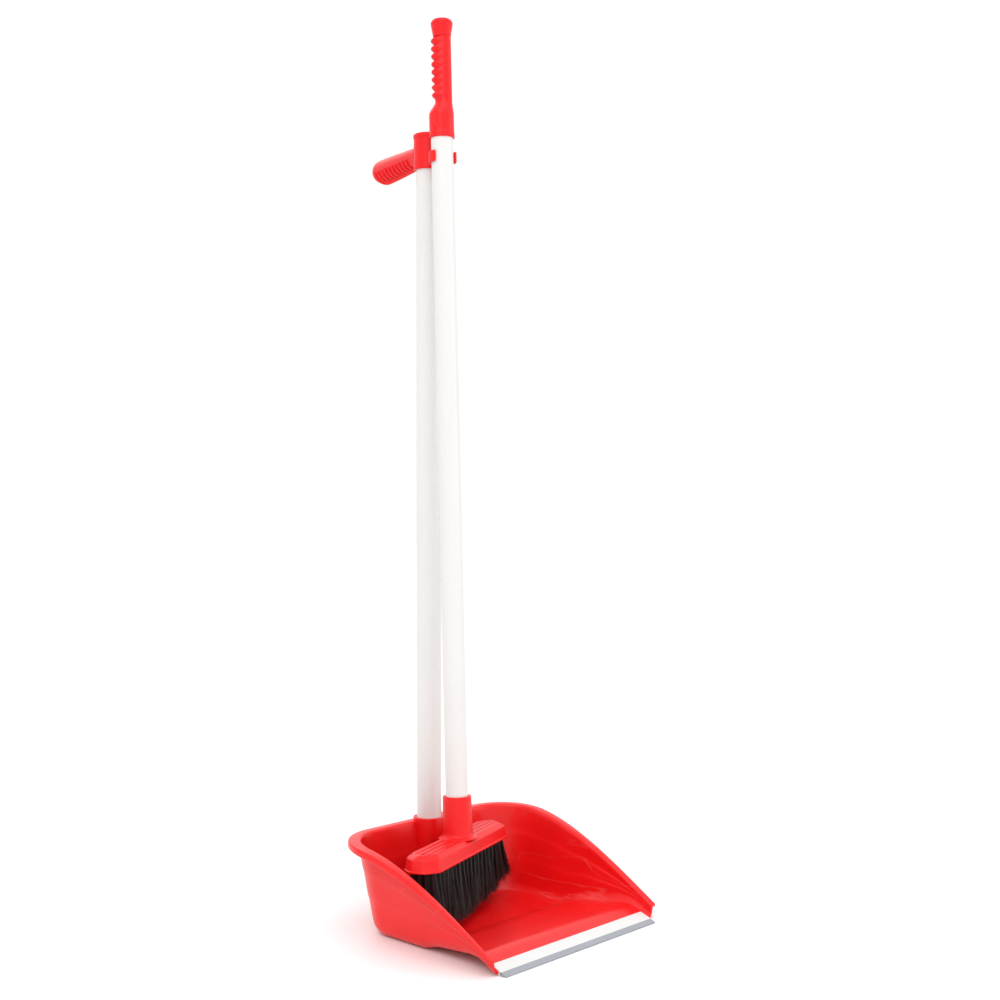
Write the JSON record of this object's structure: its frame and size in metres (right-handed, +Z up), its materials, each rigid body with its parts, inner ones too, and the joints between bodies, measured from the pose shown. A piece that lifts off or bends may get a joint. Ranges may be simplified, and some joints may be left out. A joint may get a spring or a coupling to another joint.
{
  "type": "dust pan and brush set",
  "caption": "Long-handled dust pan with a rolled rim and a soft lip blade, and a long-handled brush that hangs in a clip on the pan's handle.",
  "frame": {"origin": "on the floor, on the pan's mid-plane, under the middle of the flat foot of the pan", "axes": "+Z up along the pan's handle, +X across the pan, -Y out over the lip"},
  "size_m": [0.256, 0.3164, 0.8865],
  "materials": {
    "red_plastic": "injection-moulded red plastic, smooth, semi-gloss",
    "red_grip": "injection-moulded red plastic, fine satin",
    "white_plastic": "white extruded plastic strip",
    "grey_blade": "soft grey lip blade",
    "white_skin": "thin white plastic skin on the tubes",
    "grey_plastic": "threaded ferrule",
    "bristle": "black polypropylene filament in tufts",
    "steel": "thin-wall steel tube and zinc-plated fasteners"
  },
  "bodies": {
    "pan": {"pan_body": "red_plastic", "lip_strip": "white_plastic", "lip_blade": "grey_blade", "pan_tube": "steel", "pan_tube_skin": "white_skin", "pan_screw": "steel", "handle_bracket": "red_plastic", "side_grip": "red_grip", "bracket_screw": "steel"},
    "brush_handle": {"brush_tube": "steel", "brush_tube_skin": "white_skin", "brush_ferrule": "grey_plastic"},
    "brush_head": {"brush_block": "red_plastic", "bristle_row_1": "bristle", "bristle_row_2": "bristle", "bristle_row_3": "bristle", "bristle_row_4": "bristle", "tuft_staples": "steel"},
    "brush_grip": {"brush_grip": "red_grip", "grip_cap": "red_grip"}
  },
  "joints": [
    {"name": "brush_lift", "type": "slide", "parent": "pan", "child": "brush_handle", "axis": [0.0081, 0.039, 0.9992], "range_m": [0, 0.4]},
    {"name": "brush_turn", "type": "hinge", "parent": "brush_handle", "child": "brush_head", "pos_m": [-0.016, -0.00215, 0.0068], "axis": [0.0081, 0.039, 0.9992], "range_deg": [-30, 0]},
    {"name": "grip_turn", "type": "hinge", "parent": "brush_handle", "child": "brush_grip", "pos_m": [-0.016, -0.00215, 0.0068], "axis": [0.0081, 0.039, 0.9992], "range_deg": [-30, 0]}
  ],
  "couplings": [
    {"joint": "grip_turn", "follows": "brush_turn", "ratio": 1}
  ]
}
